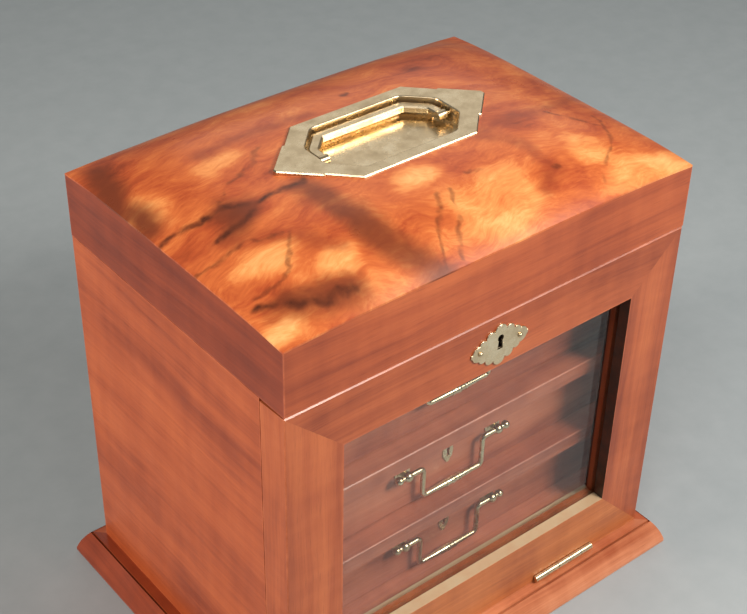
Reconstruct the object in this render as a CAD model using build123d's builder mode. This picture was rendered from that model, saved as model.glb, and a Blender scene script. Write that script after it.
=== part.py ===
"""Jewellery chest: domed hinged lid, glazed fall-front door, three drawers, moulded plinth.

Millimetres. The origin is the centre of the plinth's footprint on the table, +Z up, the front faces -Y.
Every piece of wood, brass, glass and cloth is a solid of its own, written to parts/NAME.step.
"""
from build123d import *
import os
from math import sqrt

os.makedirs("parts", exist_ok=True)

# ---- driving dimensions -------------------------------------------------------------------------
case_width = 320.0
case_depth = 228.5              # over the closed door
plinth_height = 20.0
plinth_projection = 17.0
plinth_fillet = 7.0             # flat margin round the case, before the quirk
plinth_inset = 26.0             # how far the plinth frame runs in under the case
board = 12.0                    # case sides, back and drawer boards
case_height = 261.5             # plinth top to lid seam

door_thickness = 23.0
door_gap = 0.5                  # door to case front
door_foot_gap = 0.7             # door to plinth
door_top_gap = 0.5              # door to lid, at the front arris
door_top_bevel = 1.6            # the top edge falls this much towards the back
stile_width = 41.5
rail_bottom_sight = 44.2        # plinth top to the glass
rail_top_sight = 221.6
door_arris = 1.0
lip = 8.5                       # frame in front of the glass
glass_thickness = 3.0
rebate = 6.0
bead_depth = 4.0

floor_top = 33.0                # board tops, above the plinth
lower_divider_top = 96.0
upper_divider_top = 159.0
deck_bottom = 240.0
drawer_setback = 39.5           # door face to drawer face

drawer_clearance_side = 0.5
drawer_clearance_below = 0.4
drawer_clearance_above = 0.6
drawer_front_thickness = 12.0
drawer_side_thickness = 7.0
drawer_bottom_thickness = 4.0
drawer_back_gap = 3.0
felt = 2.0

lid_gap = 0.3
lid_wall = 14.0
lid_wall_height = 45.0
dome_rise = 27.8
dome_reach = 1.03               # the dome's net is this much wider than the lid
veneer = 1.2
lid_ceiling = 321.5             # underside of the solid lid top

plate_top = 355.6
plate_thickness = 3.0
plate_half_width = 37.3
plate_shoulder = 44.1           # half length of the straight sides
plate_tip = 83.6
ear_step = 1.55
pan_half_length = 52.5
pan_half_width = 28.0
pan_corner = 17.0
pan_corner_radius = 8.0
pan_rim_radius = 0.9
pan_ledge_depth = 8.6
pan_ledge_width = 3.2
pan_depth = 11.0
pan_wall = 1.5

bail_bar_width = 6.5
bail_bar_height = 5.0
bail_axis_depth = 5.5
bail_arm_x = 46.5
bail_grip_y = 22.5

door_hinge_length = 56.0
door_hinge_x = 83.0
door_hinge_radius = 2.8
door_hinge_proud = 1.0          # axis in front of the door face
lid_hinge_length = 40.0
lid_hinge_x = 95.0
lid_hinge_radius = 2.6
knuckle_count = 5
knuckle_gap = 0.3
hinge_clearance = 0.3
pin_radius = 1.2
pin_clearance = 0.05

post_spacing = 78.8
post_reach = 6.2                # drawer face to bail axis
pull_bar_half = 26.0
pull_drop = 24.0
pull_radius = 1.8

lock_x = 0.0
keyhole_height = 241.4          # above the plinth
escutcheon_height = 239.3
bolt_travel = 6.0

# ---- places worked out from them ----------------------------------------------------------------
half_width = case_width / 2
front = -case_depth / 2
back = case_depth / 2
base = plinth_height
seam = base + case_height
case_front = front + door_thickness + door_gap
door_back = front + door_thickness
door_foot = base + door_foot_gap
door_top = seam - door_top_gap
sight_x = half_width - stile_width
sight_low = base + rail_bottom_sight
sight_high = base + rail_top_sight
glass_front = front + lip
glass_back = glass_front + glass_thickness
inner_x = half_width - board
inner_back = back - board
drawer_face = front + drawer_setback
lid_foot = seam + lid_gap
lid_wall_top = lid_foot + lid_wall_height
plate_foot = plate_top - plate_thickness
bail_axis_z = plate_top - bail_axis_depth
door_axis_y = front - door_hinge_proud
door_axis_z = base + door_hinge_radius + hinge_clearance
lid_axis_y = back + lid_hinge_radius + hinge_clearance
lid_axis_z = seam + lid_gap / 2
keyhole_z = base + keyhole_height
escutcheon_z = base + escutcheon_height


# ---- helpers ------------------------------------------------------------------------------------
def block(low, high, mode=Mode.ADD):
    """A rectangular board between two corners."""
    size = [b - a for a, b in zip(low, high)]
    centre = [(a + b) / 2 for a, b in zip(low, high)]
    with Locations(tuple(centre)):
        Box(*size, mode=mode)


def keep(piece, name):
    """Label a finished piece and write it."""
    piece.part.label = name
    export_step(piece.part, f"parts/{name}.step")


def keep_group(pieces, name):
    """Write several touching pieces as separate solids of one node."""
    group = Compound(label=name, children=[solid for piece in pieces for solid in piece.part.solids()])
    export_step(group, f"parts/{name}.step")


def plain_board(low, high):
    """A board that belongs to a group."""
    with BuildPart() as plain:
        block(low, high)
    return plain


def round_bar(start, direction, radius, length, mode=Mode.ADD):
    """A cylinder from a point along a direction."""
    with Locations(Plane(origin=start, z_dir=direction)):
        Cylinder(radius, length, align=(Align.CENTER, Align.CENTER, Align.MIN), mode=mode)


# ---- screws -------------------------------------------------------------------------------------
def countersunk_screws(places, direction, head_radius, shank_radius, length):
    """Slotted countersunk screws, heads flush at the places given, shanks along the direction."""
    with BuildPart() as screws:
        for place in places:
            plane = Plane(origin=place, z_dir=direction)
            head_height = head_radius - shank_radius
            with Locations(plane):
                Cone(head_radius, shank_radius, head_height, align=(Align.CENTER, Align.CENTER, Align.MIN))
                Cylinder(shank_radius, length, align=(Align.CENTER, Align.CENTER, Align.MIN))
                Box(head_radius * 2.2, head_radius * 0.28, head_height, mode=Mode.SUBTRACT)
    return screws


# ---- hinges -------------------------------------------------------------------------------------
class Hinge:
    """One pair of butt hinges on an axis along X: which way the leaves run, and where they lie."""

    def __init__(self, axis_y, axis_z, radius, length, centres, inward, leaf_width):
        self.axis_y = axis_y
        self.axis_z = axis_z
        self.radius = radius
        self.length = length
        self.centres = centres
        self.inward = inward
        self.leaf_width = leaf_width
        self.knuckle = (length - knuckle_gap * (knuckle_count - 1)) / knuckle_count

    def knuckle_starts(self, centre, first):
        start = centre - self.length / 2
        return [start + i * (self.knuckle + knuckle_gap) for i in range(first, knuckle_count, 2)]

    def y_span(self, near, far):
        ends = (self.axis_y + self.inward * near, self.axis_y + self.inward * far)
        return min(ends), max(ends)

    def leaves(self, first, leaf_low, leaf_high, web_depth):
        """The leaves that carry knuckles first, first + 2, ... on every hinge of the pair."""
        with BuildPart() as leaf:
            for centre in self.centres:
                half = self.length / 2
                near, far = self.y_span(self.radius + hinge_clearance, self.leaf_width)
                block((centre - half, near, leaf_low), (centre + half, far, leaf_high))
                for start in self.knuckle_starts(centre, first):
                    end = start + self.knuckle
                    round_bar((start, self.axis_y, self.axis_z), (1, 0, 0), self.radius, self.knuckle)
                    web_near, web_far = self.y_span(0, web_depth)
                    web_high = max(leaf_high, min(self.axis_z, leaf_high + self.radius))
                    block((start, web_near, leaf_low), (end, web_far, web_high))
                    join_near, join_far = self.y_span(0, self.radius + hinge_clearance)
                    block((start, join_near, leaf_low), (end, join_far, leaf_high))
                bore_start = (centre - half, self.axis_y, self.axis_z)
                bore = pin_radius + pin_clearance
                round_bar(bore_start, (1, 0, 0), bore, self.length, mode=Mode.SUBTRACT)
        return leaf

    def pins(self):
        with BuildPart() as pin:
            for centre in self.centres:
                start = (centre - self.length / 2, self.axis_y, self.axis_z)
                round_bar(start, (1, 0, 0), pin_radius, self.length)
        return pin

    def recess(self):
        """The round room that whole knuckles need in a neighbouring arris."""
        with BuildPart() as room:
            for centre in self.centres:
                start = (centre - self.length / 2 - knuckle_gap, self.axis_y, self.axis_z)
                length = self.length + 2 * knuckle_gap
                round_bar(start, (1, 0, 0), self.radius + hinge_clearance, length)
        return room

    def screw_places(self, z):
        y = self.axis_y + self.inward * (self.radius + self.leaf_width) / 2
        offsets = (-0.36, 0.0, 0.36)
        return [(c + k * self.length, y, z) for c in self.centres for k in offsets]


door_hinge = Hinge(door_axis_y, door_axis_z, door_hinge_radius, door_hinge_length,
                   (-door_hinge_x, door_hinge_x), 1, 19.0)
lid_hinge = Hinge(lid_axis_y, lid_axis_z, lid_hinge_radius, lid_hinge_length,
                  (-lid_hinge_x, lid_hinge_x), -1, 13.0)
door_leaf = 1.6
lid_leaf = 1.4

door_fixed = door_hinge.leaves(0, base - door_leaf, base, door_hinge_radius - 0.9)
door_moving = door_hinge.leaves(1, door_foot, door_foot + door_leaf, 0.5)
lid_fixed = lid_hinge.leaves(0, seam - lid_leaf, seam, 0.5)
lid_moving = lid_hinge.leaves(1, lid_foot, lid_foot + lid_leaf, 0.5)
door_pins = door_hinge.pins()
lid_pins = lid_hinge.pins()
hinge_screw = (2.0, 1.0, 10.0)      # head radius, shank radius, length
door_fixed_screws = countersunk_screws(door_hinge.screw_places(base), (0, 0, -1), *hinge_screw)
door_moving_screws = countersunk_screws(door_hinge.screw_places(door_foot), (0, 0, 1), *hinge_screw)
lid_fixed_screws = countersunk_screws(lid_hinge.screw_places(seam), (0, 0, -1), *hinge_screw)
lid_moving_screws = countersunk_screws(lid_hinge.screw_places(lid_foot), (0, 0, 1), *hinge_screw)


def seat(*pieces):
    """Cut the room that fitted pieces take out of the board under construction."""
    for piece in pieces:
        add(piece.part, mode=Mode.SUBTRACT)


def screwed_leaf(leaf, screws, name):
    """Write a leaf with its countersunk holes."""
    with BuildPart() as drilled:
        add(leaf.part)
        seat(screws)
    keep(drilled, name)
    return drilled


# ---- plinth -------------------------------------------------------------------------------------
def plinth_section(side, face):
    """Moulded section: flat fillet, narrow quirk, then a barely swelled splay down to the table."""
    outer = face + plinth_projection
    quirk_in = face + plinth_fillet
    quirk_out = quirk_in + 1.4
    splay_top = (quirk_out, base - 1.0)
    splay_foot = (outer, 2.0)
    run = splay_foot[0] - splay_top[0]
    drop = splay_foot[1] - splay_top[1]
    swell = 0.05
    splay_mid = (splay_top[0] + run / 2 - drop * swell, splay_top[1] + drop / 2 + run * swell)
    corners = [(quirk_out, base - 2.6), (quirk_in, base - 2.6), (quirk_in, base), (face - plinth_inset, base),
               (face - plinth_inset, 0), (outer, 0)]
    points = [(side * x, z) for x, z in [splay_foot, splay_mid, splay_top] + corners]
    with BuildSketch() as section:
        with BuildLine():
            ThreePointArc(points[0], points[1], points[2])
            Polyline(points[2], *points[3:], points[0])
        make_face()
    return section.sketch


def plinth_length(plane, side, face, plan):
    """One mitred length: the section run along the side, trimmed to its plan."""
    with BuildPart() as length:
        with BuildSketch(plane):
            add(plinth_section(side, face))
        extrude(amount=case_width, both=True)
        with BuildSketch(Plane.XY):
            Polygon(*plan, align=None)
        extrude(amount=base, mode=Mode.INTERSECT)
    return length


plinth_out_x = half_width + plinth_projection
plinth_out_y = back + plinth_projection
plinth_in_x = half_width - plinth_inset
plinth_in_y = back - plinth_inset
for side_name, side in (("front", -1), ("back", 1)):
    plan = [(-plinth_out_x, side * plinth_out_y), (plinth_out_x, side * plinth_out_y),
            (plinth_in_x, side * plinth_in_y), (-plinth_in_x, side * plinth_in_y)]
    run = plinth_length(Plane.YZ, side, back, plan)
    with BuildPart() as plinth:
        add(run.part)
        if side_name == "front":
            seat(door_fixed, door_fixed_screws)
    keep(plinth, f"plinth_{side_name}")
for side_name, side in (("left", -1), ("right", 1)):
    plan = [(side * plinth_out_x, -plinth_out_y), (side * plinth_out_x, plinth_out_y),
            (side * plinth_in_x, plinth_in_y), (side * plinth_in_x, -plinth_in_y)]
    keep(plinth_length(Plane.XZ, side, half_width, plan), f"plinth_{side_name}")

# ---- case ---------------------------------------------------------------------------------------
for side_name, side in (("left", -1), ("right", 1)):
    x_low, x_high = sorted((side * inner_x, side * half_width))
    with BuildPart() as case_side:
        block((x_low, case_front, base), (x_high, back, seam))
        outer_corner = case_side.edges().filter_by(Axis.Z).group_by(Axis.Y)[-1].sort_by(Axis.X)
        chamfer(outer_corner[-1 if side > 0 else 0], 0.5)
    keep(case_side, f"case_side_{side_name}")

with BuildPart() as case_back:
    block((-inner_x, inner_back, base), (inner_x, back, seam))
    seat(lid_fixed, lid_fixed_screws)
keep(case_back, "case_back")

for board_name, top in (("drawer_board_bottom", floor_top), ("drawer_board_lower", lower_divider_top),
                        ("drawer_board_upper", upper_divider_top), ("deck_board", deck_bottom + board)):
    with BuildPart() as shelf:
        block((-inner_x, case_front, base + top - board), (inner_x, inner_back, base + top))
        chamfer(shelf.edges().filter_by(Axis.X).group_by(Axis.Y)[0], 0.6)
    keep(shelf, board_name)

rail_back = case_front + board
bottom_rail = plain_board((-inner_x, case_front, base), (inner_x, rail_back, base + floor_top - board))
top_rail = plain_board((-inner_x, case_front, base + deck_bottom + board), (inner_x, rail_back, seam))
keep_group([bottom_rail, top_rail], "case_front_rails")

bed_top = base + deck_bottom + board + felt
with BuildPart() as deck_bed:
    block((-inner_x, case_front + board, bed_top - felt), (inner_x, inner_back, bed_top))
    fillet(deck_bed.edges().group_by(Axis.Z)[-1], 0.9)
keep(deck_bed, "deck_lining")

screwed_leaf(door_fixed, door_fixed_screws, "door_hinge_leaves_fixed")
screwed_leaf(lid_fixed, lid_fixed_screws, "lid_hinge_leaves_fixed")
keep_group([door_pins, lid_pins], "hinge_pins")
keep_group([door_fixed_screws, lid_fixed_screws], "hinge_screws_case")


# ---- lock ---------------------------------------------------------------------------------------
def keyhole(height, radius, slot, plane, depth, mode):
    """A round-topped keyhole, cut along the plane's normal."""
    with BuildSketch(plane) as hole:
        with Locations((0, height / 2 - radius)):
            Circle(radius)
        Polygon((-slot * 0.8, -height / 2), (slot * 0.8, -height / 2), (slot * 0.5, height / 2 - radius),
                (-slot * 0.5, height / 2 - radius), align=None)
    extrude(hole.sketch, amount=depth, both=True, mode=mode)


lock_half = 22.0
lock_low = base + 229.5
lock_top = door_top - 1.0
selvedge = 1.5
lock_y = front + lid_wall / 2
lock_wall = 1.2
bolt_half = 9.0
bolt_low = keyhole_z + 4.5
bolt_slot = 0.35

with BuildPart() as bolt:
    block((lock_x - bolt_half, lock_y - 1.75, bolt_low), (lock_x + bolt_half, lock_y + 1.75, lock_top - 0.5))
keep(bolt, "lock_bolt")

with BuildPart() as lock_case:
    block((lock_x - lock_half, lock_y - 4.25, lock_low),
          (lock_x + lock_half, lock_y + 4.25, lock_top - selvedge))
    block((lock_x - lock_half + lock_wall, lock_y - 4.25 + lock_wall, lock_low + lock_wall),
          (lock_x + lock_half - lock_wall, lock_y + 4.25 - lock_wall, lock_top - selvedge - lock_wall),
          mode=Mode.SUBTRACT)
    block((lock_x - lock_half - 5, lock_y - 5.6, lock_top - selvedge),
          (lock_x + lock_half + 5, lock_y + 5.6, lock_top))
    block((lock_x - bolt_half - bolt_slot, lock_y - 1.75 - bolt_slot, lock_top - 4),
          (lock_x + bolt_half + bolt_slot, lock_y + 1.75 + bolt_slot, lock_top), mode=Mode.SUBTRACT)
    lock_face = Plane(origin=(lock_x, lock_y - 4.25, keyhole_z), z_dir=(0, -1, 0), x_dir=(1, 0, 0))
    keyhole(8.0, 1.7, 1.8, lock_face, lock_wall + 0.2, Mode.SUBTRACT)
keep(lock_case, "lock_case")

with BuildPart() as lock_pocket:
    block((lock_x - lock_half, lock_y - 4.25, lock_low), (lock_x + lock_half, lock_y + 4.25, door_top + 1))
    block((lock_x - lock_half - 5, lock_y - 5.6, lock_top - selvedge),
          (lock_x + lock_half + 5, lock_y + 5.6, door_top + 1))

# ---- escutcheon on the door ---------------------------------------------------------------------
keyhole_plane = Plane(origin=(lock_x, front, keyhole_z), z_dir=(0, -1, 0), x_dir=(1, 0, 0))
escutcheon_plane = Plane(origin=(lock_x, front, escutcheon_z), z_dir=(0, -1, 0), x_dir=(1, 0, 0))
escutcheon_thickness = 1.1
escutcheon_pin_x = 16.2
pin_head_radius = 1.7

with BuildPart() as escutcheon_pins:
    for side in (-1, 1):
        start = (lock_x + side * escutcheon_pin_x, front - escutcheon_thickness, escutcheon_z)
        with Locations(start):
            Sphere(pin_head_radius)
        block((start[0] - 2, start[1], start[2] - 2), (start[0] + 2, start[1] + 2, start[2] + 2),
              Mode.SUBTRACT)
        round_bar(start, (0, 1, 0), 0.7, 3.5)
keep(escutcheon_pins, "escutcheon_pins")

with BuildPart() as escutcheon:
    with BuildSketch(escutcheon_plane):
        Ellipse(17.0, 10.6)
        for side in (-1, 1):
            with Locations((side * 16.8, 0)):
                Circle(5.8)
            with Locations((side * 21.8, 0)):
                RegularPolygon(2.0, 4, rotation=45)
            with Locations((side * 13.6, 5.2), (side * 13.6, -5.2)):
                Circle(3.2)
            with Locations((side * 7.6, 8.4), (side * 7.6, -8.4)):
                Circle(3.7)
        with Locations((0, 10.4), (0, -10.4)):
            Circle(4.7)
    extrude(amount=escutcheon_thickness)
    fillet(escutcheon.faces().sort_by(Axis.Y)[0].edges(), 0.45)
    keyhole(10.5, 2.4, 2.8, keyhole_plane, 4.0, Mode.SUBTRACT)
    seat(escutcheon_pins)
keep(escutcheon, "door_escutcheon")

# ---- door ---------------------------------------------------------------------------------------
outer_corners = {"low_left": (-half_width, door_foot), "low_right": (half_width, door_foot),
                 "high_right": (half_width, door_top), "high_left": (-half_width, door_top)}
sight_corners = {"low_left": (-sight_x, sight_low), "low_right": (sight_x, sight_low),
                 "high_right": (sight_x, sight_high), "high_left": (-sight_x, sight_high)}


def frame_member(start, end):
    """A mitred length of door frame between two named corners, rebated behind for the glass."""
    with BuildPart() as member:
        with BuildSketch(Plane(origin=(0, front, 0), z_dir=(0, 1, 0), x_dir=(1, 0, 0))):
            outline = [outer_corners[start], outer_corners[end], sight_corners[end], sight_corners[start]]
            Polygon(*[(x, -z) for x, z in outline], align=None)
        extrude(amount=door_thickness)
        block((-sight_x - rebate, glass_front, sight_low - rebate),
              (sight_x + rebate, door_back, sight_high + rebate), mode=Mode.SUBTRACT)
        with BuildSketch(Plane.YZ):
            Polygon((front - 1, door_top), (front, door_top), (door_back + 1, door_top - door_top_bevel),
                    (door_back + 1, door_top + 2), (front - 1, door_top + 2), align=None)
        extrude(amount=case_width, both=True, mode=Mode.SUBTRACT)
    return member


members = {"door_rail_bottom": ("low_left", "low_right"), "door_stile_right": ("low_right", "high_right"),
           "door_rail_top": ("high_right", "high_left"), "door_stile_left": ("high_left", "low_left")}
for name, (start, end) in members.items():
    whole = frame_member(start, end)
    with BuildPart() as member:
        add(whole.part)
        if name == "door_rail_bottom":
            seat(door_moving, door_moving_screws, door_hinge.recess())
        elif name == "door_rail_top":
            chamfer(member.edges().filter_by(Axis.X).group_by(Axis.Y)[0].sort_by(Axis.Z)[-1], 0.8)
            keyhole(9.8, 2.2, 2.5, keyhole_plane, 6.0, Mode.SUBTRACT)
            seat(lock_pocket, escutcheon_pins)
        else:
            outer_arris = member.edges().filter_by(Axis.Z).group_by(Axis.Y)[0].sort_by(Axis.X)
            fillet(outer_arris[-1 if name == "door_stile_right" else 0], door_arris)
    keep(member, name)

screwed_leaf(door_moving, door_moving_screws, "door_hinge_leaves_moving")
keep(door_moving_screws, "door_hinge_screws_door")

glass_edge = rebate - 0.5
with BuildPart() as glass:
    block((-sight_x - glass_edge, glass_front, sight_low - glass_edge),
          (sight_x + glass_edge, glass_back, sight_high + glass_edge))
keep(glass, "door_glass")

beads = []
for side in (-1, 1):
    x_low, x_high = sorted((side * sight_x, side * (sight_x + rebate)))
    beads.append(plain_board((x_low, glass_back, sight_low - rebate),
                             (x_high, glass_back + bead_depth, sight_high + rebate)))
for z_low, z_high in ((sight_low - rebate, sight_low), (sight_high, sight_high + rebate)):
    beads.append(plain_board((-sight_x, glass_back, z_low), (sight_x, glass_back + bead_depth, z_high)))
keep_group(beads, "door_glazing_beads")


# ---- lid ----------------------------------------------------------------------------------------
def dome_surface(drop):
    """A pillow of height rise * (1 - (x/a)^4) * (1 - (y/b)^4), lowered by drop, as a quartic patch."""
    reach_x = half_width * dome_reach
    reach_y = back * dome_reach
    weights = (0, 2, 0, 2, 0)
    net = [[(-reach_x + i * reach_x / 2, -reach_y + j * reach_y / 2, lid_wall_top - drop + dome_rise * a * b)
            for j, b in enumerate(weights)] for i, a in enumerate(weights)]
    return Face.make_bezier_surface(net)


def rectangle_plan(reach_x, reach_y):
    """The four corners of a rectangle centred on the lid."""
    return [(-reach_x, -reach_y), (reach_x, -reach_y), (reach_x, reach_y), (-reach_x, reach_y)]


def under_dome(plan, foot, drop):
    """A board standing on a plan outline, its top cut to the dome."""
    with BuildPart() as shaped:
        with BuildSketch(Plane.XY.offset(foot)):
            Polygon(*plan, align=None)
        extrude(amount=plate_top + 20 - foot)
        split(bisect_by=dome_surface(drop), keep=Keep.BOTTOM)
    return shaped


def plate_outline():
    """A long hexagon with stepped, pointed ears."""
    step_x = 60.5
    step_y = plate_half_width + plate_shoulder - step_x
    quarter = [(plate_shoulder, plate_half_width), (step_x, step_y), (step_x + ear_step, step_y + 0.4),
               (plate_tip - 1.2, 1.6)]
    right = quarter + [(x, -y) for x, y in reversed(quarter)]
    left = [(-x, -y) for x, y in right]
    Polygon(*right, *left, align=None)


def pan_outline(inset):
    """The recess: a rectangle with cut corners, all softened."""
    x = pan_half_length - inset
    y = pan_half_width - inset
    cut = pan_corner - inset * (2 - sqrt(2))
    quarter = [(x, -(y - cut)), (x, y - cut), (x - cut, y)]
    points = quarter + [(-(x - cut), y), (-x, y - cut), (-x, -(y - cut)), (-(x - cut), -y), (x - cut, -y)]
    with BuildSketch(mode=Mode.PRIVATE) as outline:
        Polygon(*points, align=None)
        fillet(outline.vertices(), pan_corner_radius - inset)
    return outline.sketch


with BuildPart() as handle_room:
    with BuildSketch(Plane.XY.offset(plate_foot)):
        plate_outline()
    extrude(amount=plate_thickness + 20)
    with BuildSketch(Plane.XY.offset(plate_top - pan_depth - pan_wall)):
        add(pan_outline(-pan_wall))
    extrude(amount=pan_depth)

handle_screw_places = [(-65.0, 0, plate_top), (65.0, 0, plate_top)]
handle_screws = countersunk_screws(handle_screw_places, (0, 0, -1), 3.4, 1.6, 14.0)
keep(handle_screws, "carry_handle_screws")

with BuildPart() as handle_plate:
    with BuildSketch(Plane.XY.offset(plate_foot)):
        plate_outline()
    extrude(amount=plate_thickness)
    chamfer(handle_plate.faces().sort_by(Axis.Z)[-1].edges(), 0.7)
    with BuildSketch(Plane.XY.offset(plate_top - pan_depth - pan_wall)):
        add(pan_outline(-pan_wall))
    extrude(amount=pan_depth)
    with BuildSketch(Plane.XY.offset(plate_top - pan_ledge_depth)):
        add(pan_outline(0))
    extrude(amount=pan_ledge_depth + 1, mode=Mode.SUBTRACT)
    fillet(handle_plate.faces().sort_by(Axis.Z)[-1].inner_wires()[0].edges(), pan_rim_radius)
    with BuildSketch(Plane.XY.offset(plate_top - pan_depth)):
        add(pan_outline(pan_ledge_width))
    extrude(amount=pan_depth, mode=Mode.SUBTRACT)
    pivot_half = pan_half_length + pan_wall
    round_bar((-pivot_half, 0, bail_axis_z), (1, 0, 0), pin_radius + pin_clearance, 2 * pivot_half, Mode.SUBTRACT)
    seat(handle_screws)
keep(handle_plate, "carry_handle_plate")

with BuildPart() as carry_bail:
    with BuildSketch(Plane.XY.offset(bail_axis_z - bail_bar_height / 2)):
        with BuildLine() as bail_line:
            FilletPolyline((-bail_arm_x, 0), (-bail_arm_x, 10), (-33.5, bail_grip_y), (33.5, bail_grip_y),
                           (bail_arm_x, 10), (bail_arm_x, 0), radius=5)
        trace(bail_line.line, bail_bar_width)
    extrude(amount=bail_bar_height)
    chamfer(carry_bail.edges().group_by(Axis.Z)[-1], 0.9)
    chamfer(carry_bail.edges().group_by(Axis.Z)[0], 0.9)
    for side in (-1, 1):
        eye_start = (side * bail_arm_x - bail_bar_width / 2, 0, bail_axis_z)
        round_bar(eye_start, (1, 0, 0), 3.1, bail_bar_width)
        pivot_length = pan_half_length - bail_arm_x + 1.3
        round_bar((side * bail_arm_x, 0, bail_axis_z), (side, 0, 0), pin_radius, pivot_length)
keep(carry_bail, "carry_handle_bail")

core_x = half_width - lid_wall
core_y = back - lid_wall
with BuildPart() as lid_core:
    add(under_dome(rectangle_plan(core_x, core_y), lid_ceiling, veneer).part)
    seat(handle_room, handle_screws)
keep(lid_core, "lid_top_panel")

with BuildPart() as lid_veneer:
    add(under_dome(rectangle_plan(half_width, back), lid_ceiling, 0).part)
    add(under_dome(rectangle_plan(half_width, back), lid_ceiling, veneer).part, mode=Mode.SUBTRACT)
    seat(handle_room)
keep(lid_veneer, "lid_veneer")

with BuildPart() as lid_lining:
    block((-core_x, -core_y, lid_ceiling - felt), (core_x, core_y, lid_ceiling))
keep(lid_lining, "lid_lining")

with BuildPart() as link_plate:
    block((lock_x - lock_half - 5, lock_y - 5.6, lid_foot),
          (lock_x + lock_half + 5, lock_y + 5.6, lid_foot + selvedge))
    block((lock_x - bolt_half - 0.8, lock_y - 2.6, lid_foot),
          (lock_x + bolt_half + 0.8, lock_y + 2.6, lid_foot + 3), mode=Mode.SUBTRACT)
keep(link_plate, "lock_link_plate")

outer_corners = rectangle_plan(half_width, back)
inner_corners = rectangle_plan(core_x, core_y)
for corner, side_name in enumerate(("front", "right", "back", "left")):
    onward = (corner + 1) % 4
    mitred_plan = (outer_corners[corner], outer_corners[onward], inner_corners[onward], inner_corners[corner])
    with BuildPart() as lid_side:
        add(under_dome(mitred_plan, lid_foot, veneer).part)
        if side_name == "front":
            seat(link_plate)
            block((lock_x - bolt_half - 0.8, lock_y - 2.6, lid_foot),
                  (lock_x + bolt_half + 0.8, lock_y + 2.6, lid_foot + bolt_travel), mode=Mode.SUBTRACT)
        if side_name == "back":
            seat(lid_moving, lid_moving_screws)
    keep(lid_side, f"lid_wall_{side_name}")

screwed_leaf(lid_moving, lid_moving_screws, "lid_hinge_leaves_moving")
keep(lid_moving_screws, "lid_hinge_screws_lid")


# ---- drawers ------------------------------------------------------------------------------------
def pull_posts(post_z):
    """Two turned posts with round rosettes, bored along X for the bail, and a keyhole plate between."""
    axis_y = drawer_face - post_reach
    with BuildPart() as fittings:
        for side in (-1, 1):
            x = side * post_spacing / 2
            round_bar((x, drawer_face, post_z), (0, -1, 0), 6.4, 0.9)
            round_bar((x, drawer_face - 0.9, post_z), (0, -1, 0), 4.6, 0.8)
            round_bar((x, drawer_face, post_z), (0, -1, 0), 2.5, post_reach)
            with Locations((x, axis_y, post_z)):
                Sphere(3.7)
            round_bar((x - 5, axis_y, post_z), (1, 0, 0), pull_radius + 0.06, 10, Mode.SUBTRACT)
    return fittings


def keyhole_plate(post_z):
    """The small shield round the drawer's keyhole."""
    plane = Plane(origin=(0, drawer_face, post_z - 3), z_dir=(0, -1, 0), x_dir=(1, 0, 0))
    with BuildPart() as shield:
        with BuildSketch(plane):
            Ellipse(4.6, 7.6)
            with Locations((0, 7.4), (0, -7.4)):
                Circle(1.7)
        extrude(amount=1.0)
        fillet(shield.faces().sort_by(Axis.Y)[0].edges(), 0.4)
        keyhole(7.0, 1.5, 1.6, plane, 3.0, Mode.SUBTRACT)
    return shield


def pull_bail(post_z):
    """A swan-neck bail on the posts' axis: ball ends, square shoulders and a hanging grip."""
    axis_y = drawer_face - post_reach
    end = post_spacing / 2 + 7.0
    plane = Plane(origin=(0, axis_y, post_z), z_dir=(0, -1, 0), x_dir=(1, 0, 0))
    with BuildPart() as swing:
        with BuildLine(plane) as path:
            FilletPolyline((-end, 0), (-pull_bar_half, 0), (-pull_bar_half, -pull_drop),
                           (pull_bar_half, -pull_drop), (pull_bar_half, 0), (end, 0), radius=3.2)
        with BuildSketch(Plane(origin=(-end, axis_y, post_z), z_dir=(1, 0, 0))):
            Circle(pull_radius)
        sweep(path=path.line)
        with Locations((-end, axis_y, post_z), (end, axis_y, post_z)):
            Sphere(3.0)
        grip_z = post_z - pull_drop
        with Locations((0, axis_y, grip_z)):
            Sphere(3.1)
        for side in (-1, 1):
            with Locations(Plane(origin=(side * 1.5, axis_y, grip_z), z_dir=(side, 0, 0))):
                Cone(2.7, pull_radius, 15, align=(Align.CENTER, Align.CENTER, Align.MIN))
            with Locations(Plane(origin=(side * 5.0, axis_y, grip_z), z_dir=(side, 0, 0))):
                Cylinder(2.9, 1.0, align=(Align.CENTER, Align.CENTER, Align.MIN))
    return swing


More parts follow.
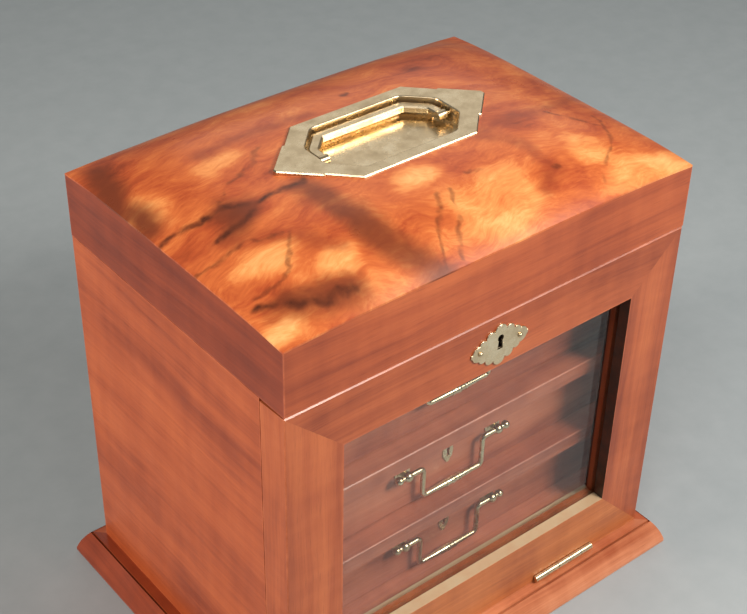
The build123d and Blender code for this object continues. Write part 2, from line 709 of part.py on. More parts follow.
drawer_rows = {"top": (upper_divider_top, deck_bottom, 207.0),
               "middle": (lower_divider_top, upper_divider_top - board, 129.0),
               "bottom": (floor_top, lower_divider_top - board, 66.0)}
for row, (opening_low, opening_high, post_height) in drawer_rows.items():
    low = base + opening_low + drawer_clearance_below
    high = base + opening_high - drawer_clearance_above
    x = inner_x - drawer_clearance_side
    wall_front = drawer_face + drawer_front_thickness
    box_back = inner_back - drawer_back_gap
    box_high = high - 4
    bottom_low = low + 1.5
    post_z = base + post_height

    with BuildPart() as drawer_front:
        block((-x, drawer_face, low), (x, wall_front, high))
        chamfer(drawer_front.faces().sort_by(Axis.Y)[0].edges(), 0.6)
        keyhole(5.6, 1.2, 1.2, Plane(origin=(0, drawer_face, post_z - 3), z_dir=(0, -1, 0), x_dir=(1, 0, 0)),
                6.0, Mode.SUBTRACT)
    keep(drawer_front, f"drawer_{row}_front")

    inner = x - drawer_side_thickness
    drawer_left = plain_board((-x, wall_front, low), (-inner, box_back, box_high))
    drawer_right = plain_board((inner, wall_front, low), (x, box_back, box_high))
    drawer_back = plain_board((-inner, box_back - drawer_side_thickness, bottom_low),
                              (inner, box_back, box_high))
    keep_group([drawer_left, drawer_right, drawer_back], f"drawer_{row}_sides_and_back")

    with BuildPart() as drawer_bottom:
        block((-inner, wall_front, bottom_low),
              (inner, box_back - drawer_side_thickness, bottom_low + drawer_bottom_thickness))
    keep(drawer_bottom, f"drawer_{row}_bottom")

    lining_low = bottom_low + drawer_bottom_thickness
    with BuildPart() as drawer_lining:
        block((-inner, wall_front, lining_low), (inner, box_back - drawer_side_thickness, lining_low + felt))
        fillet(drawer_lining.edges().group_by(Axis.Z)[-1], 0.9)
    keep(drawer_lining, f"drawer_{row}_lining")

    keep_group([pull_posts(post_z), keyhole_plate(post_z)], f"drawer_{row}_pull_posts")

    keep(pull_bail(post_z), f"drawer_{row}_bail")
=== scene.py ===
"""Looks for the jewellery chest: French-polished reddish wood, figured lid veneer, brass, glass and velvet.

Metres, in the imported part's own frame: +Z up, the front faces -Y. Places come from the frame's boxes.
"""
import math

import bmesh
import bpy
from mathutils import Matrix, Vector


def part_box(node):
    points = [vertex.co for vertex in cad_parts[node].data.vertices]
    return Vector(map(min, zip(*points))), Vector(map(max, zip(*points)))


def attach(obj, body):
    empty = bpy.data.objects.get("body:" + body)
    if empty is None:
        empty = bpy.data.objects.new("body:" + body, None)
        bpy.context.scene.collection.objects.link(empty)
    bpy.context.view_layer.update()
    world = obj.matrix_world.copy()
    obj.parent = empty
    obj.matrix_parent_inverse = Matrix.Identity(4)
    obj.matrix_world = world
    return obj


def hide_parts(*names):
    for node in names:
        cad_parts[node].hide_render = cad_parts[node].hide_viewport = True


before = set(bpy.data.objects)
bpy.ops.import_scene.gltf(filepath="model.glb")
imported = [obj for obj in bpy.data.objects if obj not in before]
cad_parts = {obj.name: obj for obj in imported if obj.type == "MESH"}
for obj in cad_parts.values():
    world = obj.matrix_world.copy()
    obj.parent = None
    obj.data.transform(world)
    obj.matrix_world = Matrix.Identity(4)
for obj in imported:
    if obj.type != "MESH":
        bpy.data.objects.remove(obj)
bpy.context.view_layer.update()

# ---- camera -------------------------------------------------------------------------------------
CAMERA_PLACE = (-0.5249, -0.6287, 0.8140)
CAMERA_AZIMUTH = 39.611
CAMERA_ELEVATION = 35.922
CAMERA_ROLL = 1.348
CAMERA_LENS = 73.2
SENSOR_WIDTH = 36


def make_camera():
    """The photograph's viewpoint: from the front left, looking down on the lid."""
    az, el, roll = (math.radians(v) for v in (CAMERA_AZIMUTH, CAMERA_ELEVATION, CAMERA_ROLL))
    look = Vector((math.cos(el) * math.sin(az), math.cos(el) * math.cos(az), -math.sin(el)))
    right = look.cross(Vector((0, 0, 1))).normalized()
    up = right.cross(look)
    tilted_right = math.cos(roll) * right + math.sin(roll) * up
    tilted_up = math.cos(roll) * up - math.sin(roll) * right
    data = bpy.data.cameras.new("camera")
    data.lens = CAMERA_LENS
    data.sensor_width = SENSOR_WIDTH
    camera = bpy.data.objects.new("camera", data)
    turn = Matrix((tilted_right, tilted_up, -look)).transposed().to_4x4()
    camera.matrix_world = Matrix.Translation(CAMERA_PLACE) @ turn
    bpy.context.scene.collection.objects.link(camera)
    bpy.context.scene.camera = camera


# ---- studio -------------------------------------------------------------------------------------
# Each lamp stands on an orbit round the chest: azimuth 0 is straight in front, positive to the right.
LAMPS = (
    {"name": "key", "azimuth": 22, "elevation": 42, "distance": 1.7, "height": 0.15,
     "target": (0, -0.05, 0.16), "size": (0.40, 0.40), "watts": 25, "colour": (1.0, 0.93, 0.85)},
    {"name": "left", "azimuth": -98, "elevation": 20, "distance": 2.0, "height": 0.1,
     "target": (-0.16, 0.0, 0.08), "size": (0.50, 0.40), "watts": 32, "colour": (1.0, 0.88, 0.76)},
    {"name": "left_glint", "azimuth": -52, "elevation": 53, "distance": 1.6, "height": 0.15,
     "target": (0, 0, 0.25), "size": (0.32, 0.32), "watts": 5, "colour": (1.0, 0.97, 0.93)},
    {"name": "right_sheen", "azimuth": 42, "elevation": 38, "distance": 1.7, "height": 0.15,
     "target": (0, -0.1, 0.1), "size": (0.55, 0.40), "watts": 8, "colour": (1.0, 0.96, 0.90)},
    {"name": "back_card", "azimuth": 140, "elevation": 38, "distance": 1.6, "height": 0.15,
     "target": (0, 0, 0.3), "size": (1.3, 0.9), "watts": 2.6, "colour": (1.0, 0.95, 0.86)},
)
ROOM_COLOUR = (0.52, 0.56, 0.58)
ROOM_STRENGTH = 0.24
FLOOR_SIZE = 14
FLOOR_DROP = 0.0005
FLOOR_TONES = ((0.3, (0.33, 0.37, 0.39)), (0.7, (0.36, 0.40, 0.42)))
FLOOR_ROUGHNESS = 0.55


def around(azimuth, elevation, distance, height):
    """A place on the orbit of this distance about a point this high over the origin."""
    az, el = math.radians(azimuth), math.radians(elevation)
    return (distance * math.cos(el) * math.sin(az), -distance * math.cos(el) * math.cos(az),
            height + distance * math.sin(el))


def make_lamp(name, azimuth, elevation, distance, height, target, size, watts, colour):
    """A rectangular area lamp, turned to face its target."""
    data = bpy.data.lights.new(name, "AREA")
    data.shape = "RECTANGLE"
    data.size, data.size_y = size
    data.energy = watts
    data.color = colour
    lamp = bpy.data.objects.new(name, data)
    place = around(azimuth, elevation, distance, height)
    lamp.location = place
    lamp.rotation_mode = "QUATERNION"
    lamp.rotation_quaternion = (Vector(target) - Vector(place)).to_track_quat("-Z", "Y")
    bpy.context.scene.collection.objects.link(lamp)


def make_room():
    """An even grey light from all round."""
    world = bpy.data.worlds.new("room")
    world.use_nodes = True
    background = world.node_tree.nodes["Background"]
    background.inputs["Color"].default_value = (*ROOM_COLOUR, 1)
    background.inputs["Strength"].default_value = ROOM_STRENGTH
    bpy.context.scene.world = world
    bpy.context.scene.view_settings.view_transform = "Standard"


def make_floor():
    """A plain painted floor, a hair below the plinth."""
    bpy.ops.mesh.primitive_plane_add(size=FLOOR_SIZE, location=(0, 0, -FLOOR_DROP))
    floor = bpy.context.object
    floor.name = "floor"
    material = new_material("floor_paint")
    tree = Tree(material)
    speckle = tree.noise(tree.position(), 40, 4, 0.6)
    tree.set("Base Color", tree.ramp(speckle, FLOOR_TONES))
    tree.shader.inputs["Roughness"].default_value = FLOOR_ROUGHNESS
    floor.data.materials.append(material)


def make_studio():
    """Warm key at the front right, a lamp at the left, two glints and a weak card behind for the brass."""
    for lamp in LAMPS:
        make_lamp(**lamp)
    make_room()
    make_floor()


# ---- node helpers -------------------------------------------------------------------------------
def new_material(name):
    material = bpy.data.materials.new(name)
    material.use_nodes = True
    return material


class Tree:
    """Short names for building one material's nodes."""

    def __init__(self, material):
        self.nodes = material.node_tree.nodes
        self.links = material.node_tree.links
        self.shader = self.nodes["Principled BSDF"]

    def add(self, kind, **values):
        node = self.nodes.new(kind)
        for key, value in values.items():
            setattr(node, key, value)
        return node

    def feed(self, socket, value):
        if isinstance(value, bpy.types.NodeSocket):
            self.links.new(value, socket)
        else:
            socket.default_value = value

    def set(self, name, value):
        self.feed(self.shader.inputs[name], value)

    def position(self):
        return self.add("ShaderNodeTexCoord").outputs["Object"]

    def mapped(self, vector, scale=(1, 1, 1), place=(0, 0, 0), turn=(0, 0, 0)):
        node = self.add("ShaderNodeMapping")
        self.feed(node.inputs["Vector"], vector)
        node.inputs["Scale"].default_value = scale
        node.inputs["Location"].default_value = place
        node.inputs["Rotation"].default_value = turn
        return node.outputs["Vector"]

    def noise(self, vector, scale, detail, rough, distortion=0.0, colour=False):
        node = self.add("ShaderNodeTexNoise")
        self.feed(node.inputs["Vector"], vector)
        node.inputs["Scale"].default_value = scale
        node.inputs["Detail"].default_value = detail
        node.inputs["Roughness"].default_value = rough
        node.inputs["Distortion"].default_value = distortion
        return node.outputs["Color" if colour else "Fac"]

    def math(self, kind, a, b=0.0, clamp=False):
        node = self.add("ShaderNodeMath", operation=kind, use_clamp=clamp)
        self.feed(node.inputs[0], a)
        self.feed(node.inputs[1], b)
        return node.outputs[0]

    def weighted(self, *shares):
        """The sum of some values, each times its own weight."""
        total = None
        for value, weight in shares:
            part = self.math("MULTIPLY", value, weight)
            total = part if total is None else self.math("ADD", total, part)
        return total

    def vector(self, kind, a, b=(0, 0, 0), out="Vector"):
        node = self.add("ShaderNodeVectorMath", operation=kind)
        self.feed(node.inputs[0], a)
        self.feed(node.inputs[1], b)
        return node.outputs[out]

    def scaled(self, vector, factor):
        node = self.add("ShaderNodeVectorMath", operation="SCALE")
        self.feed(node.inputs[0], vector)
        self.feed(node.inputs["Scale"], factor)
        return node.outputs["Vector"]

    def span(self, value, low, high, to_low=0.0, to_high=1.0, smooth=False):
        """Map low..high onto to_low..to_high and hold the ends."""
        node = self.add("ShaderNodeMapRange")
        if smooth:
            node.interpolation_type = "SMOOTHSTEP"
        self.feed(node.inputs["Value"], value)
        for name, number in zip(("From Min", "From Max", "To Min", "To Max"), (low, high, to_low, to_high)):
            node.inputs[name].default_value = number
        return node.outputs["Result"]

    def ramp(self, value, stops):
        node = self.add("ShaderNodeValToRGB")
        self.feed(node.inputs["Fac"], value)
        elements = node.color_ramp.elements
        while len(elements) < len(stops):
            elements.new(0.5)
        for element, (place, colour) in zip(elements, stops):
            element.position = place
            element.color = (*colour, 1)
        return node.outputs["Color"]

    def mix(self, factor, a, b):
        node = self.add("ShaderNodeMix", data_type="RGBA")
        self.feed(node.inputs["Factor"], factor)
        colours = [socket for socket in node.inputs if socket.type == "RGBA"]
        for socket, value in zip(colours, (a, b)):
            self.feed(socket, value if isinstance(value, bpy.types.NodeSocket) else (*value, 1))
        return next(socket for socket in node.outputs if socket.type == "RGBA")

    def bump(self, height, distance, strength):
        node = self.add("ShaderNodeBump")
        self.feed(node.inputs["Height"], height)
        node.inputs["Distance"].default_value = distance
        node.inputs["Strength"].default_value = strength
        return node.outputs["Normal"]

    def warp(self, vector, scale, amount):
        """Push a position about by smooth noise, amount metres either way."""
        push = self.vector("SUBTRACT", self.noise(vector, scale, 3, 0.5, colour=True), (0.5, 0.5, 0.5))
        return self.vector("ADD", vector, self.scaled(push, amount * 2))

    def ridges(self, vector, scale, width):
        """Thin winding lines, 1 on the line, where a noise passes its middle value."""
        away = self.math("ABSOLUTE", self.math("SUBTRACT", self.noise(vector, scale, 2, 0.5), 0.5))
        return self.span(away, 0.0, width, 1.0, 0.0, smooth=True)

    def edge_distance(self, low, high):
        """Metres from the nearest arris of a box-shaped piece."""
        centre = (low + high) / 2
        half = (high - low) / 2
        away = self.vector("ABSOLUTE", self.vector("SUBTRACT", self.position(), tuple(centre)))
        inward = self.vector("SUBTRACT", tuple(half), away)
        parts = self.add("ShaderNodeSeparateXYZ")
        self.feed(parts.inputs[0], inward)
        x, y, z = parts.outputs
        nearer = self.math("MINIMUM", x, y)
        farther = self.math("MAXIMUM", x, y)
        return self.math("MAXIMUM", nearer, self.math("MINIMUM", farther, z))


# ---- wood ---------------------------------------------------------------------------------------
ALONG = {"x": (1, 0, 0), "y": (0, 1, 0), "z": (0, 0, 1)}

# Each wood's dark, middle and light tone.
BODY = ((0.23, 0.038, 0.012), (0.40, 0.082, 0.024), (0.54, 0.130, 0.038))
DOOR = ((0.24, 0.044, 0.014), (0.41, 0.092, 0.029), (0.56, 0.150, 0.048))
# A darker copy of the body wood: painted shade for the left lid wall and the left plinth.
PAINTED_SHADE_TONES = ((0.16, 0.024, 0.008), (0.27, 0.046, 0.014), (0.37, 0.078, 0.024))
# A paler copy of the door wood: painted light on the door's bottom rail.
RAIL_PAINTED_LIGHT = ((0.30, 0.070, 0.020), (0.50, 0.150, 0.042), (0.66, 0.235, 0.080))
# A paler, pinker copy of the body wood: painted light and sheen on the front plinth's splayed face.
PLINTH_PAINTED_SHEEN = ((0.34, 0.080, 0.030), (0.58, 0.200, 0.090), (0.76, 0.330, 0.180))
DRAWER = ((0.26, 0.055, 0.028), (0.48, 0.135, 0.070), (0.62, 0.210, 0.115))
INNER = ((0.22, 0.070, 0.030), (0.36, 0.140, 0.062), (0.46, 0.205, 0.100))
TONE_LEVELS = (0.38, 0.52, 0.66)
# Painted shade for the inner faces of the door's stiles and top rail, round the glass.
SIGHT_EDGE_SHADE = (0.018, 0.010, 0.008)
# Painted light for the upward inner face of the door's bottom rail.
SIGHT_EDGE_LIGHT = (0.50, 0.36, 0.22)
# Painted shade seen through the keyhole.
KEYHOLE_SHADE_TONE = (0.012, 0.006, 0.004)
SEED_STEPS = (0.37, 0.61, 0.23)
WEAR_AND_HIGHLIGHT_REACH = 0.0012
GRIME_REACH = 0.012
COAT_ROUGHNESS = 0.16
POLISH_SPECULAR = 0.35


def grain_scale(along, across, lengthways):
    """Mapping scale that stretches a texture along the grain."""
    return tuple(lengthways if c else across for c in ALONG[along])


def polish(tree, roughness, coat, seed):
    """Shellac gloss with duller, rubbed patches."""
    patches = tree.noise(tree.mapped(tree.position(), place=(seed, 0, seed)), 22, 5, 0.6)
    tree.set("Roughness", tree.span(patches, 0.3, 0.7, *roughness))
    tree.shader.inputs["Coat Weight"].default_value = coat
    tree.shader.inputs["Coat Roughness"].default_value = COAT_ROUGHNESS
    tree.shader.inputs["Specular IOR Level"].default_value = POLISH_SPECULAR


def arris_grime_wear_and_highlight(tree, colour, tones, box):
    """Darken the polish towards a piece's arrises; pale patches on the arris itself are partly wear, partly
    a painted highlight.
    """
    dark, _, light = tones
    edge = tree.edge_distance(*box)
    patchy = tree.span(tree.noise(tree.position(), 70, 4, 0.7), 0.35, 0.65)
    # Pale patches along the arris: rubbed wear, and a painted highlight of the rounded arris.
    worn = tree.math("MULTIPLY", tree.span(edge, 0.0, WEAR_AND_HIGHLIGHT_REACH, 0.45, 0.0), patchy)
    grime = tree.span(edge, 0.0, GRIME_REACH, 0.16, 0.0)
    colour = tree.mix(grime, colour, dark)
    return tree.mix(worn, colour, tuple(min(1.0, c * 1.4 + 0.04) for c in light))


def painted_keyhole_shade(tree, colour, centre, reach):
    """Paint shade, near black, on the wood within reach of the keyhole's middle."""
    away = tree.vector("DISTANCE", tree.position(), tuple(centre), "Value")
    return tree.mix(tree.span(away, reach * 0.8, reach, 1.0, 0.0), colour, KEYHOLE_SHADE_TONE)


def sight_edge_painted_light_and_shade(tree, colour, place, facing, tint):
    """Tint the one face of a door member that looks this way, round the glass: painted shade where the tint
    is dark, painted light where it is pale.
    """
    normal = tree.add("ShaderNodeTexCoord").outputs["Normal"]
    inner_edge = tree.span(tree.vector("DOT_PRODUCT", normal, facing, "Value"), 0.90, 0.96)
    # Noise makes the strength of the painted tint uneven.
    rubbing = tree.span(tree.noise(place, 60, 3, 0.6), 0.30, 0.62, 0.78, 1.0)
    return tree.mix(tree.math("MULTIPLY", inner_edge, rubbing), colour, tint)


def wood(name, along, seed, tones=BODY, coat=0.14, roughness=(0.30, 0.44), box=None, pit=None, sight=None):
    """Straight-grained wood: soft bands, faint cathedral lines, fine fibre, short pores, cross ripple."""
    material = new_material(name)
    tree = Tree(material)
    place = tree.mapped(tree.position(), place=tuple(seed * step for step in SEED_STEPS))
    bent = tree.warp(tree.mapped(place, grain_scale(along, 1.0, 0.30)), 8, 0.014)
    bands = tree.noise(tree.mapped(bent, grain_scale(along, 1.0, 0.30)), 24, 3, 0.5, 0.4)
    lines = tree.ridges(tree.mapped(bent, grain_scale(along, 1.0, 0.22)), 44, 0.09)
    fibre = tree.noise(tree.mapped(bent, grain_scale(along, 1.0, 0.05)), 620, 3, 0.6)
    pores = tree.noise(tree.mapped(place, grain_scale(along, 1.0, 0.05)), 1500, 2, 0.5)
    ripple = tree.noise(tree.mapped(place, grain_scale(along, 0.3, 1.0)), 70, 3, 0.5)
    blotch = tree.noise(place, 8, 3, 0.5)
    level = tree.weighted((bands, 0.44), (fibre, 0.17), (blotch, 0.30), (ripple, 0.14), (lines, -0.045))
    colour = tree.ramp(level, tuple(zip(TONE_LEVELS, tones)))
    streaks = tree.span(pores, 0.60, 0.74, 0.0, 0.26)
    colour = tree.mix(streaks, colour, tuple(c * 0.35 for c in tones[0]))
    if box is not None:
        colour = arris_grime_wear_and_highlight(tree, colour, tones, box)
    if pit is not None:
        colour = painted_keyhole_shade(tree, colour, *pit)
    if sight is not None:
        colour = sight_edge_painted_light_and_shade(tree, colour, place, *sight)
    tree.set("Base Color", colour)
    polish(tree, roughness, coat, seed)
    height = tree.math("SUBTRACT", tree.math("MULTIPLY", fibre, 0.5), tree.math("MULTIPLY", streaks, 0.8))
    tree.set("Normal", tree.bump(height, 0.00012, 0.3))
    return material


# ---- the lid's figure ---------------------------------------------------------------------------
# Millimetres from the lid's centre. The figure follows the real lid's marks: most points of the paths, and
# the rough places of the patches, were projected onto the lid by a separate script.
CRACKS = (((-160, 5), (-136, 1), (-122, 0), (-110, -11)),
          ((-137, -23), (-119, -20), (-97, -16), (-72, -13)),
          ((-152, -81), (-139, -90), (-126, -98), (-104, -103)))
FLAMES = (((-77, -18), (-74, -46), (-69, -60), (-69, -82), (-62, -97), (-50, -113)),
          ((-122, -4), (-112, -14), (-124, -21)),
          ((-104, -102), (-122, -97), (-140, -89)),
          ((-148, 98), (-157, 67), (-156, 22)))
SOFT_BANDS = (((-137, -23), (-129, -34), (-117, -42), (-107, -53), (-99, -65), (-90, -76)),
              ((45, -38), (60, -56), (65, -86), (48, -96)),
              ((45, -40), (82, -32), (128, -28), (160, -16)),
              ((-105, 51), (-80, 48), (-50, 46), (-25, 44)))
FINE_LINES = (((-160, -32), (-144, -37), (-129, -35), (-112, -46)),
              ((-108, -49), (-124, -72), (-137, -76), (-151, -73)),
              ((-126, 2), (-101, 13), (-84, 24), (-69, 33)),
              ((88, -104), (115, -82), (133, -57), (140, -40)),
              ((-20, -73), (-33, -93), (-48, -114)),
              ((-10, -72), (-20, -92), (-32, -112)),
              ((100, -34), (116, -48), (126, -64)),
              ((10, -62), (30, -74), (58, -76)))
CLOUDS = (((56, -84), (15, 18)), ((-118, -12), (18, 11)), ((78, -44), (20, 14)), ((76, 66), (28, 16)),
          ((-146, 92), (16, 20)))
GLEAMS = (((14, -90), (52, 30)), ((126, -104), (40, 18)), ((100, -78), (20, 16)), ((-130, -54), (20, 17)),
          ((-98, -84), (14, 14)), ((-150, -100), (18, 10)), ((-148, 36), (12, 24)), ((-20, -50), (22, 10)),
          ((-100, 34), (24, 10)))
KNOTS = ((65, -86), (9, 53), (-154, 108))
KNOT_RUN = (2, 1)
MM_PER_METRE = 1000

# How a drawn mark fades, in metres from its path: full until, gone by, and its strength.
CRACK_FADE = (0.0002, 0.0046, 1.0)
BAND_FADE = (0.0, 0.0100, 0.70)
FLAME_FADE = (0.0020, 0.0160, 0.96)
FINE_FADE = (0.0002, 0.0026, 0.60)
KNOT_FADE = (0.0006, 0.0035, 0.85)

VENEER_TONES = ((0.20, (0.18, 0.028, 0.010)), (0.36, (0.42, 0.078, 0.022)), (0.48, (0.57, 0.140, 0.036)),
                (0.62, (0.76, 0.280, 0.082)), (0.78, (0.92, 0.480, 0.180)))
BAND_TONE = (0.26, 0.044, 0.016)
FLAME_TONE = (0.155, 0.034, 0.013)
CRACK_TONE = (0.070, 0.016, 0.007)


def path_distance(tree, flat, paths):
    """Metres from the nearest of several drawn paths."""
    nearest = None
    for path in paths:
        for start, end in zip(path, path[1:]):
            a = Vector((*start, 0)) / MM_PER_METRE
            run = Vector((*end, 0)) / MM_PER_METRE - a
            offset = tree.vector("SUBTRACT", flat, tuple(a))
            share = tree.vector("DOT_PRODUCT", offset, tuple(run / run.length_squared), "Value")
            foot = tree.scaled(tuple(run), tree.math("ADD", share, 0.0, clamp=True))
            distance = tree.vector("LENGTH", tree.vector("SUBTRACT", offset, foot), out="Value")
            nearest = distance if nearest is None else tree.math("MINIMUM", nearest, distance)
    return nearest


def drawn_marks(tree, flat, paths, fade):
    """Strength of a set of drawn marks: full on the path and gone at the end of its fade."""
    full, gone, strength = fade
    return tree.span(path_distance(tree, flat, paths), full, gone, strength, 0.0, smooth=True)


def soft_patches(tree, flat, patches):
    """1 at the middle of the nearest elliptical patch, 0 at its rim."""
    strongest = None
    for (x, y), (reach_x, reach_y) in patches:
        offset = tree.vector("SUBTRACT", flat, (x / MM_PER_METRE, y / MM_PER_METRE, 0))
        stretch = (MM_PER_METRE / reach_x, MM_PER_METRE / reach_y, 0)
        share = tree.vector("LENGTH", tree.vector("MULTIPLY", offset, stretch), out="Value")
        amount = tree.span(share, 0.35, 1.25, 1.0, 0.0, smooth=True)
        strongest = amount if strongest is None else tree.math("MAXIMUM", strongest, amount)
    return strongest


def marked_veneer(tree, colour, flat, curl):
    """Lay the drawn figure over the veneer's ground: soft bands, forked flames, then the thin dark marks."""
    drawn = tree.warp(tree.warp(flat, 34, 0.009), 150, 0.0022)
    crack = drawn_marks(tree, drawn, CRACKS, CRACK_FADE)
    band = drawn_marks(tree, drawn, SOFT_BANDS, BAND_FADE)
    flame = drawn_marks(tree, drawn, FLAMES, FLAME_FADE)
    fine = drawn_marks(tree, drawn, FINE_LINES, FINE_FADE)
    knot_paths = [(knot, (knot[0] + KNOT_RUN[0], knot[1] + KNOT_RUN[1])) for knot in KNOTS]
    knot = drawn_marks(tree, drawn, knot_paths, KNOT_FADE)
    uneven = tree.span(tree.noise(flat, 85, 4, 0.65), 0.34, 0.60, 0.55, 1.0)
    wavy = tree.span(curl, 0.36, 0.64, 1.0, 0.78)
    colour = tree.mix(tree.math("MULTIPLY", band, uneven), colour, BAND_TONE)
    colour = tree.mix(tree.math("MULTIPLY", flame, wavy), colour, FLAME_TONE)
    for amount in (fine, crack, knot):
        colour = tree.mix(tree.math("MULTIPLY", amount, uneven), colour, CRACK_TONE)
    return colour


def figured_veneer(name):
    """Crotch veneer: golden curl at the front, dark forked flames at the left, redder towards the back."""
    material = new_material(name)
    tree = Tree(material)
    place = tree.vector("MULTIPLY", tree.position(), (1, 1, 0.25))
    flat = tree.vector("MULTIPLY", tree.position(), (1, 1, 0))
    swirl = tree.warp(place, 13, 0.030)
    curl = tree.noise(tree.mapped(swirl, (1.0, 1.9, 1.0), turn=(0, 0, -0.35)), 21, 5, 0.55, 0.5)
    hair = tree.ridges(tree.mapped(swirl, (0.45, 1.7, 1.0), turn=(0, 0, -0.5)), 26, 0.10)
    fibre = tree.noise(tree.mapped(swirl, (0.20, 1.0, 1.0), turn=(0, 0, -0.4)), 520, 4, 0.6)
    gleam = soft_patches(tree, tree.warp(flat, 22, 0.016), GLEAMS)
    cloud = soft_patches(tree, tree.warp(flat, 26, 0.016), CLOUDS)
    level = tree.weighted((curl, 0.46), (fibre, 0.26), (gleam, 0.20), (cloud, -0.13), (hair, -0.06))
    level = tree.math("ADD", level, 0.10)
    colour = marked_veneer(tree, tree.ramp(level, VENEER_TONES), flat, curl)
    tree.set("Base Color", colour)
    polish(tree, (0.26, 0.40), 0.12, 3.0)
    tree.set("Normal", tree.bump(fibre, 0.00010, 0.2))
    return material


# ---- brass, glass, cloth ------------------------------------------------------------------------
BRASS_TONES = ((0.30, (0.58, 0.45, 0.28)), (0.52, (0.72, 0.58, 0.38)), (0.72, (0.80, 0.68, 0.48)))
BRASS_SPOT = (0.30, 0.22, 0.12)
BRASS_ROUGHNESS = (0.20, 0.36)
GLASS_TINT = (0.95, 0.97, 0.96)
MIRROR_FACE_ON = 0.04
SLANT_POWER = 5.0
PILE_DEEP = (0.16, 0.012, 0.03)
PILE_SHEEN = (0.7, 0.25, 0.3)


def brass(name):
    """Old polished brass: pale and warm, duller in patches, with fine rubbing scratches."""
    material = new_material(name)
    tree = Tree(material)
    place = tree.position()
    patch = tree.noise(place, 85, 5, 0.65)
    spots = tree.span(tree.noise(place, 420, 3, 0.5), 0.66, 0.76, 0.0, 0.5)
    colour = tree.ramp(patch, BRASS_TONES)
    tree.set("Base Color", tree.mix(spots, colour, BRASS_SPOT))
    tree.shader.inputs["Metallic"].default_value = 1.0
    scratch = tree.noise(tree.mapped(place, (300, 2200, 1600), turn=(0, 0, 0.3)), 1, 3, 0.6)
    worn = tree.math("ADD", patch, tree.math("MULTIPLY", scratch, 0.4))
    smooth, dull = BRASS_ROUGHNESS
    tree.set("Roughness", tree.span(worn, 0.5, 0.95, dull, smooth))
    tree.set("Normal", tree.bump(scratch, 0.00002, 0.12))
    return material


def window_glass(name):
    """Thin old sheet glass: light goes straight through, and a slanting view mirrors more of the room."""
    material = new_material(name)
    tree = Tree(material)
    smear = tree.noise(tree.mapped(tree.position(), (1, 1, 2.5)), 24, 4, 0.6)
    ripple = tree.noise(tree.mapped(tree.position(), (1, 1, 0.4)), 14, 2, 0.5)
    clear = tree.add("ShaderNodeBsdfTransparent")
    clear.inputs["Color"].default_value = (*GLASS_TINT, 1)
    mirror = tree.add("ShaderNodeBsdfGlossy")
    tree.feed(mirror.inputs["Roughness"], tree.span(smear, 0.45, 0.75, 0.02, 0.09))
    tree.feed(mirror.inputs["Normal"], tree.bump(ripple, 0.0004, 0.15))
    slant = tree.add("ShaderNodeLayerWeight")
    slant.inputs["Blend"].default_value = 0.5
    steep = tree.math("POWER", slant.outputs["Facing"], SLANT_POWER)
    share = tree.math("ADD", tree.math("MULTIPLY", steep, 1 - MIRROR_FACE_ON), MIRROR_FACE_ON)
    pane = tree.add("ShaderNodeMixShader")
    tree.feed(pane.inputs[0], share)
    tree.links.new(clear.outputs[0], pane.inputs[1])
    tree.links.new(mirror.outputs[0], pane.inputs[2])
    output = next(node for node in tree.nodes if node.type == "OUTPUT_MATERIAL")
    tree.links.new(pane.outputs[0], output.inputs["Surface"])
    tree.nodes.remove(tree.shader)
    return material


def velvet(name):
    """Cut pile, shaded where it has been brushed either way."""
    material = new_material(name)
    tree = Tree(material)
    nap = tree.noise(tree.position(), 900, 3, 0.6)
    brushed = tree.noise(tree.position(), 18, 3, 0.5)
    shade = tree.weighted((nap, 0.5), (brushed, 0.5))
    tree.set("Base Color", tree.ramp(shade, ((0.35, tuple(c * 0.55 for c in PILE_DEEP)), (0.65, PILE_DEEP))))
    tree.shader.inputs["Roughness"].default_value = 0.95
    tree.shader.inputs["Sheen Weight"].default_value = 0.9
    tree.shader.inputs["Sheen Roughness"].default_value = 0.35
    tree.shader.inputs["Sheen Tint"].default_value = (*PILE_SHEEN, 1)
    tree.set("Normal", tree.bump(nap, 0.0002, 0.6))
    return material


# ---- velvet pads --------------------------------------------------------------------------------
PAD_STEP = 0.006
PAD_ROLL = 1.4
ROLL_SHARES = (0.0, 0.12, 0.3, 0.6, 1.0)

# Heights are shares of the pad's thickness; the waves are in radians per metre and radians.
PAD_RIM = 0.30
PAD_CROWN = 0.62
PAD_RIPPLE = 0.07
RIPPLE_X = (61, 1.7)
RIPPLE_Y = (73, 0.4)


def pad_lines(low, high, roll):
    """Places of the pad's grid lines: close together over the rolled edge, then even."""
    rolled = [roll * share for share in ROLL_SHARES]
    count = max(2, round((high - low - 2 * roll) / PAD_STEP))
    middle = [low + roll + (high - low - 2 * roll) * i / count for i in range(1, count)]
    return [low + r for r in rolled] + middle + [high - r for r in reversed(rolled)]


def pad_puff(x, y, low, high, roll):
    """Height at a place: a quarter round over the rolled edge, then softly uneven."""
    inward = min(x - low.x, high.x - x, y - low.y, high.y - y, roll) / roll
    puff = PAD_RIM + PAD_CROWN * math.sqrt(1 - (1 - inward) ** 2)
    wave_x = math.sin(x * RIPPLE_X[0] + RIPPLE_X[1])
    wave_y = math.sin(y * RIPPLE_Y[0] + RIPPLE_Y[1])
    return puff + PAD_RIPPLE * inward * wave_x * wave_y


def pad_face(mesh, low, high, facing_up):
    """The pad's soft face, as rows of points joined by quads."""
    thick = high.z - low.z
    roll = thick * PAD_ROLL
    ys = pad_lines(low.y, high.y, roll)
    rows = []
    for x in pad_lines(low.x, high.x, roll):
        row = []
        for y in ys:
            rise = thick * pad_puff(x, y, low, high, roll)
            row.append(mesh.verts.new((x, y, low.z + rise if facing_up else high.z - rise)))
        rows.append(row)
    for row, following in zip(rows, rows[1:]):
        for i in range(len(ys) - 1):
            mesh.faces.new((row[i], following[i], following[i + 1], row[i + 1]))
    return rows


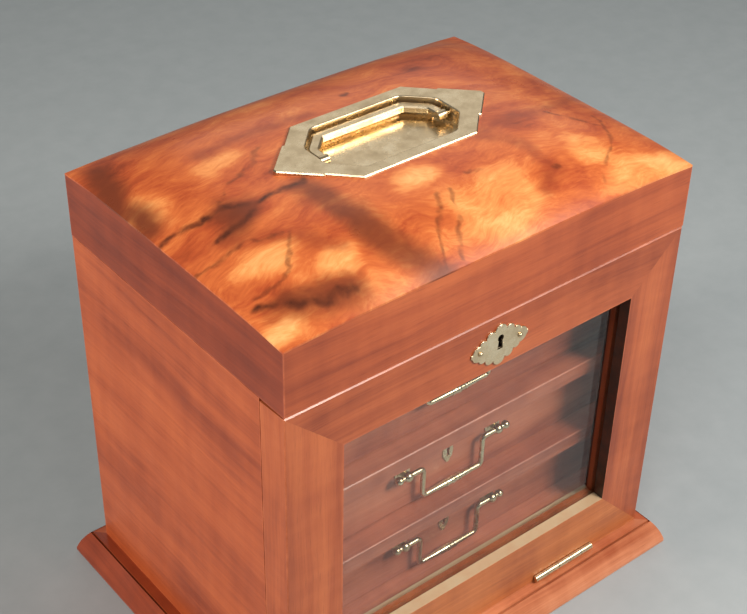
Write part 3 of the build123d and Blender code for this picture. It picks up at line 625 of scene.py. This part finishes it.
def close_pad(mesh, rows, glued_z):
    """A short wall down from the rim of the soft face, and one flat face where the pad is glued."""
    rim = [row[0] for row in rows]
    rim += rows[-1][1:]
    rim += [row[-1] for row in reversed(rows[:-1])]
    rim += rows[0][-2:0:-1]
    glued = [mesh.verts.new((v.co.x, v.co.y, glued_z)) for v in rim]
    for i, vertex in enumerate(rim):
        onward = (i + 1) % len(rim)
        mesh.faces.new((vertex, rim[onward], glued[onward], glued[i]))
    mesh.faces.new(glued)


def velvet_pad(node, body, facing_up, material):
    """A thin pad glued to its board: flat underneath, rolled at the edges, softly uneven on its face."""
    low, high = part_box(node)
    mesh = bmesh.new()
    rows = pad_face(mesh, low, high, facing_up)
    close_pad(mesh, rows, low.z if facing_up else high.z)
    bmesh.ops.recalc_face_normals(mesh, faces=mesh.faces)
    for face in mesh.faces:
        face.smooth = len(face.verts) == 4
    data = bpy.data.meshes.new(f"{node}_pad")
    mesh.to_mesh(data)
    mesh.free()
    pad = bpy.data.objects.new(f"{node}_pad", data)
    bpy.context.scene.collection.objects.link(pad)
    data.materials.append(material)
    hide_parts(node)
    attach(pad, body)


def make_pads():
    pads = {"deck_lining": "case", "lid_lining": "lid"}
    for row in ("top", "middle", "bottom"):
        pads[f"drawer_{row}_lining"] = f"drawer_{row}"
    for node, body in pads.items():
        velvet_pad(node, body, node != "lid_lining", velvet(f"velvet_{node}"))


# ---- dressing the CAD nodes ---------------------------------------------------------------------
GRAIN = {"plinth_front": "x", "plinth_back": "x", "plinth_left": "y", "plinth_right": "y",
         "case_side_left": "y", "case_side_right": "y", "case_back": "x", "case_front_rails": "x",
         "drawer_board_bottom": "x", "drawer_board_lower": "x", "drawer_board_upper": "x", "deck_board": "x",
         "door_stile_left": "z", "door_stile_right": "z", "door_rail_top": "x", "door_rail_bottom": "x",
         "door_glazing_beads": "z", "lid_wall_front": "x", "lid_wall_back": "x", "lid_wall_left": "y",
         "lid_wall_right": "y", "lid_top_panel": "x"}

# The faces of the door's frame that look at the glass, and their tints: painted shade on the stiles and top
# rail, painted light on the bottom rail.
SIGHT_EDGES = {"door_stile_right": ((-1, 0, 0), SIGHT_EDGE_SHADE), "door_stile_left": ((1, 0, 0), SIGHT_EDGE_SHADE),
               "door_rail_top": ((0, 0, -1), SIGHT_EDGE_SHADE), "door_rail_bottom": ((0, 0, 1), SIGHT_EDGE_LIGHT)}
PIT_REACH = 0.0085


def dress(node, material):
    """Give every slot of a CAD node this material."""
    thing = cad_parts[node]
    for place in thing.material_slots:
        place.material = material
    if not thing.material_slots:
        thing.data.materials.append(material)


def tones_for(node):
    # The bottom rail's paler tones are painted light.
    if node == "door_rail_bottom":
        return RAIL_PAINTED_LIGHT
    # The front plinth's paler, pinker tones are a painted sheen.
    if node == "plinth_front":
        return PLINTH_PAINTED_SHEEN
    # The darker tones on the left lid wall and left plinth are painted shade.
    if node in ("lid_wall_left", "plinth_left"):
        return PAINTED_SHADE_TONES
    if node.startswith("door_"):
        return DOOR
    if node.startswith("drawer_board"):
        return DRAWER
    if node in ("deck_board", "lid_top_panel"):
        return INNER
    return BODY


def keyhole_pit():
    """Middle and reach of the painted shade behind the escutcheon's keyhole."""
    plate_low, plate_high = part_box("door_escutcheon")
    return (plate_low + plate_high) / 2, PIT_REACH


def dress_everything():
    metal = brass("brass_fittings")
    hidden_cloth = velvet("velvet_under_pads")
    seed = 0.0
    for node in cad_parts:
        seed += 1.0
        if node in GRAIN:
            pit = keyhole_pit() if node == "door_rail_top" else None
            dress(node, wood(f"wood_{node}", GRAIN[node], seed, tones_for(node), box=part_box(node), pit=pit,
                             sight=SIGHT_EDGES.get(node)))
        elif node == "lid_veneer":
            dress(node, figured_veneer("wood_lid_veneer"))
        elif node == "door_glass":
            dress(node, window_glass("window_glass"))
        elif node.endswith("lining"):
            dress(node, hidden_cloth)
        elif node.startswith("drawer_") and node.endswith("_front"):
            dress(node, wood(f"wood_{node}", "x", seed, DRAWER, box=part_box(node)))
        elif node.startswith("drawer_") and node.endswith(("_sides_and_back", "_bottom")):
            dress(node, wood(f"wood_{node}", "y", seed, INNER, coat=0.0, roughness=(0.5, 0.65)))
        else:
            dress(node, metal)


make_camera()
make_studio()
dress_everything()
make_pads()
